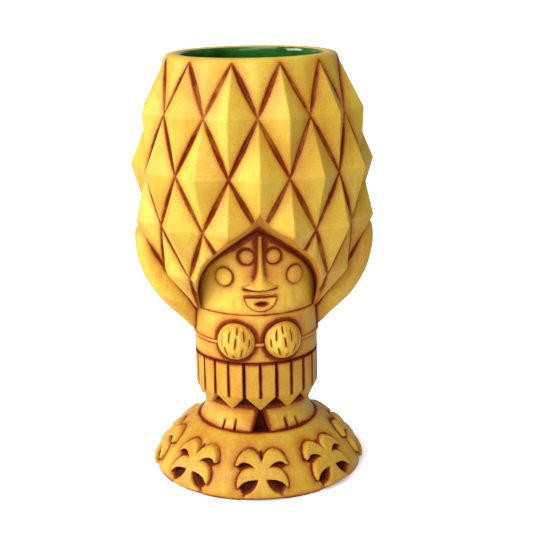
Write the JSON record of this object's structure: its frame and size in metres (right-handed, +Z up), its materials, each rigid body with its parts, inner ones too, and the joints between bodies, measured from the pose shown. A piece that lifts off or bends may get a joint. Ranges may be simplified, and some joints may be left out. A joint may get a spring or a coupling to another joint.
{
  "type": "tiki mug",
  "caption": "Footed ceramic tiki mug: a faceted pineapple cup carried by a small standing figure on a domed base, glazed inside to hold a drink.",
  "frame": {"origin": "centre of the foot ring, on the plane the mug stands on", "axes": "+Z up through the mouth of the cup, the figure faces -Y, the figure's left side is +X"},
  "size_m": [0.1138, 0.1138, 0.2],
  "materials": {
    "antiqued_yellow": "satin yellow glaze with a red-brown wash left in the grooves",
    "green_glaze": "glossy green liner glaze"
  },
  "bodies": {
    "root": {"pineapple_cup": "antiqued_yellow", "green_glaze_liner": "green_glaze", "face_wall": "antiqued_yellow", "nose": "antiqued_yellow", "left_eye": "antiqued_yellow", "right_eye": "antiqued_yellow", "left_cheek": "antiqued_yellow", "right_cheek": "antiqued_yellow", "mouth": "antiqued_yellow", "torso_drum": "antiqued_yellow", "left_arm": "antiqued_yellow", "right_arm": "antiqued_yellow", "left_coconut": "antiqued_yellow", "right_coconut": "antiqued_yellow", "bra_cord": "antiqued_yellow", "skirt_panels": "antiqued_yellow", "left_foot": "antiqued_yellow", "right_foot": "antiqued_yellow", "base_dome": "antiqued_yellow", "palm_sprigs": "antiqued_yellow"}
  },
  "joints": []
}
